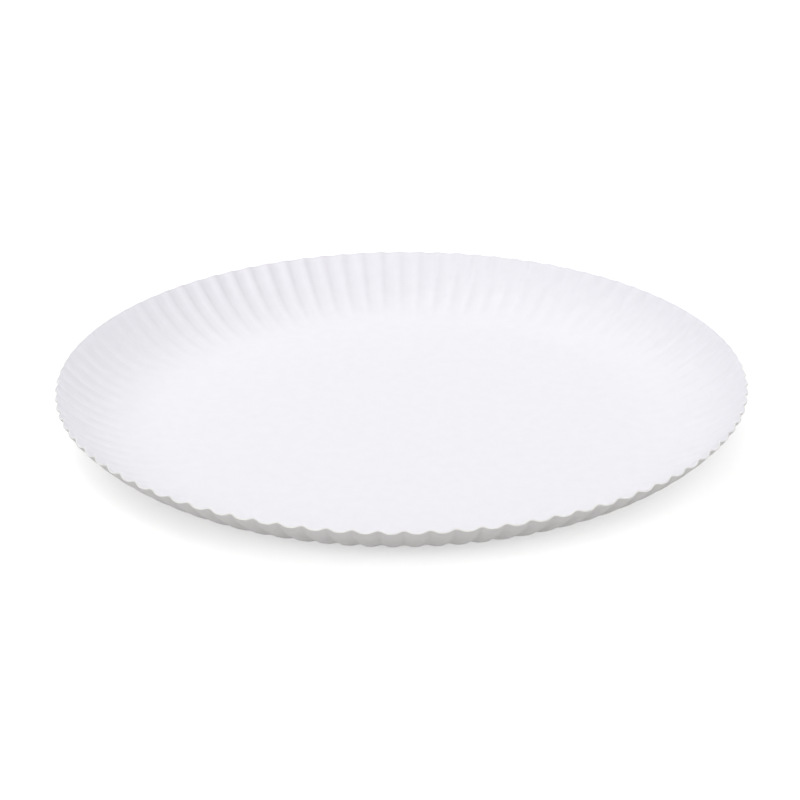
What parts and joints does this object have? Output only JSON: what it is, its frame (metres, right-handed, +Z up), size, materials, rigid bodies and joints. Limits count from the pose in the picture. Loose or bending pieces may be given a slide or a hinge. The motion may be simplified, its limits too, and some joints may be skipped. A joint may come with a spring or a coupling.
{
  "type": "paper plate",
  "caption": "Round disposable plate: a pressed paperboard dish with a flat base and a fluted, upward-sloping rim.",
  "frame": {"origin": "centre of the flat base's underside, where the plate rests", "axes": "+Z up out of the dish, along the plate's axis of symmetry; X and Y lie in the plane that the base rests on"},
  "size_m": [0.2306, 0.2306, 0.0172],
  "materials": {
    "coated_paperboard": "satin clay-coated white paperboard"
  },
  "bodies": {
    "root": {"plate": "coated_paperboard"}
  },
  "joints": []
}
